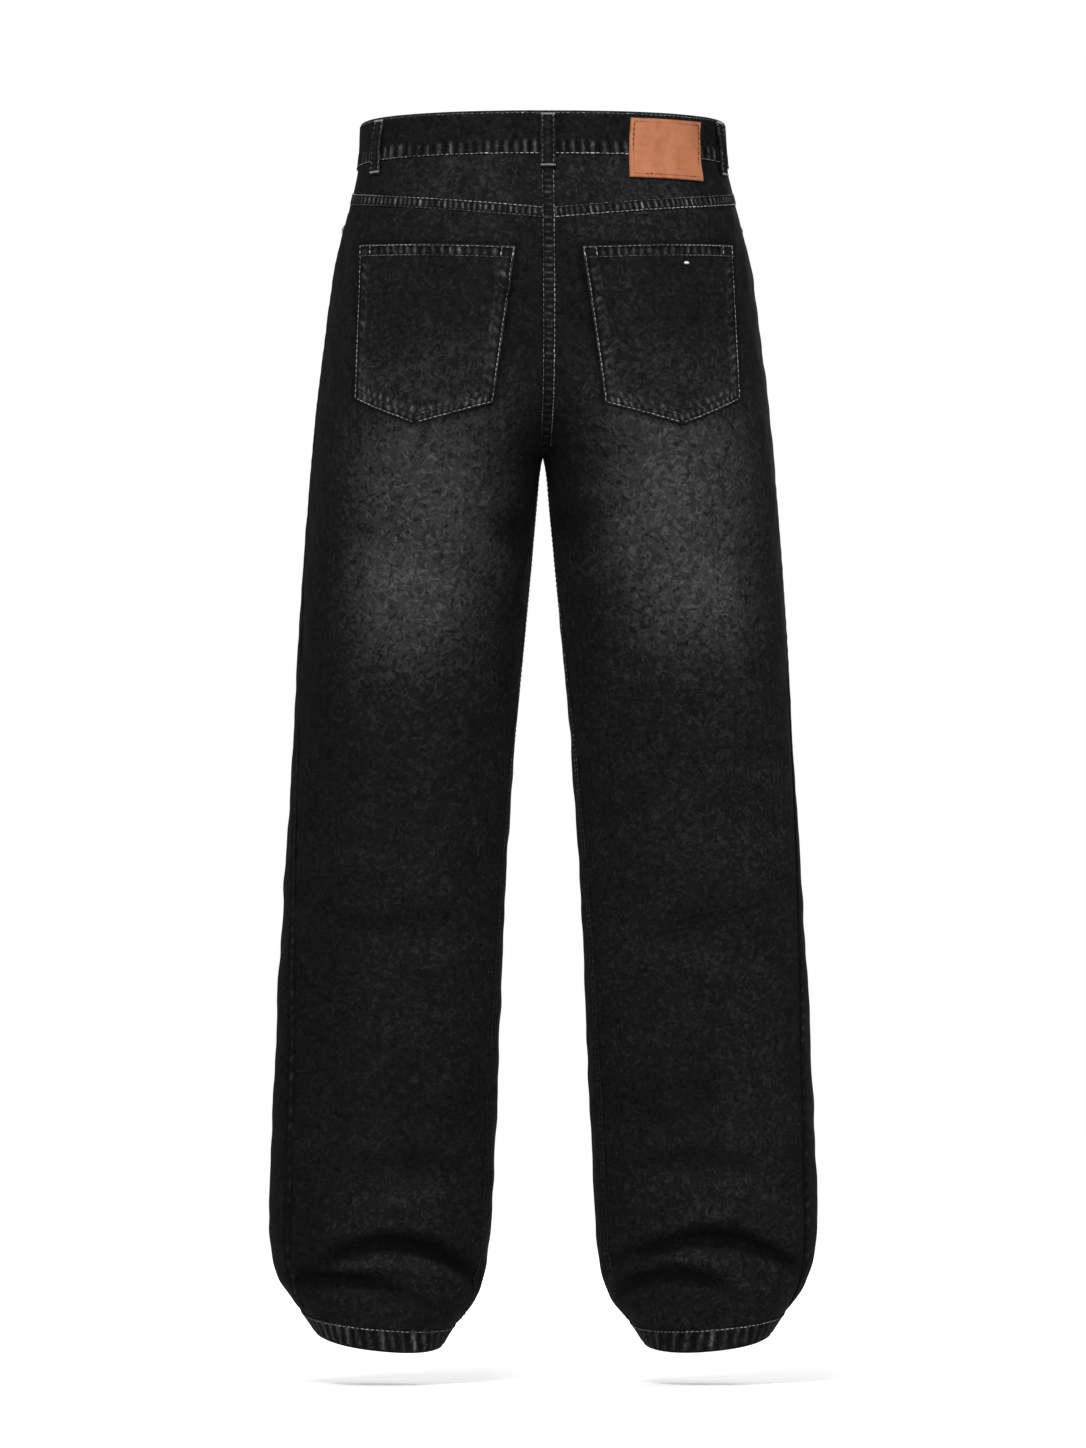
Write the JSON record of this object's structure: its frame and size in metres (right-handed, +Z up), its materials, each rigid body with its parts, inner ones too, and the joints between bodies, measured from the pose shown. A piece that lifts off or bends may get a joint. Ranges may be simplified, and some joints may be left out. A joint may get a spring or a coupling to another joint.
{
  "type": "straight leg jeans",
  "caption": "Straight leg denim jeans in hollow worn form, with back yoke, patch pockets, belt loops and a bare leather patch.",
  "frame": {"origin": "middle of the waist opening, level with the top of the waistband at the sides", "axes": "+Z up, along the legs towards the waist; -Y is the front of the garment; +X is the wearer's left"},
  "size_m": [0.4778, 0.2681, 1.0782],
  "materials": {
    "denim": "black washed twill denim, with dark seams and pale worn thighs",
    "leather": "bare tan leather, lightly grained",
    "rivet_metal": "dull nickel",
    "button_metal": "dull nickel"
  },
  "bodies": {
    "root": {"back_panel_left": "denim", "front_panel_left": "denim", "back_yoke_left": "denim", "front_pocket_facing_left": "denim", "back_pocket_left": "denim", "hem_fold_left": "denim", "rivet_top_left": "rivet_metal", "rivet_low_left": "rivet_metal", "back_panel_right": "denim", "front_panel_right": "denim", "back_yoke_right": "denim", "front_pocket_facing_right": "denim", "back_pocket_right": "denim", "hem_fold_right": "denim", "rivet_top_right": "rivet_metal", "rivet_low_right": "rivet_metal", "waistband": "denim", "belt_loop_back": "denim", "belt_loop_side_left": "denim", "belt_loop_side_right": "denim", "belt_loop_front_left": "denim", "belt_loop_front_right": "denim", "fly_shield": "denim", "leather_patch": "leather", "waist_button": "button_metal"}
  },
  "joints": []
}
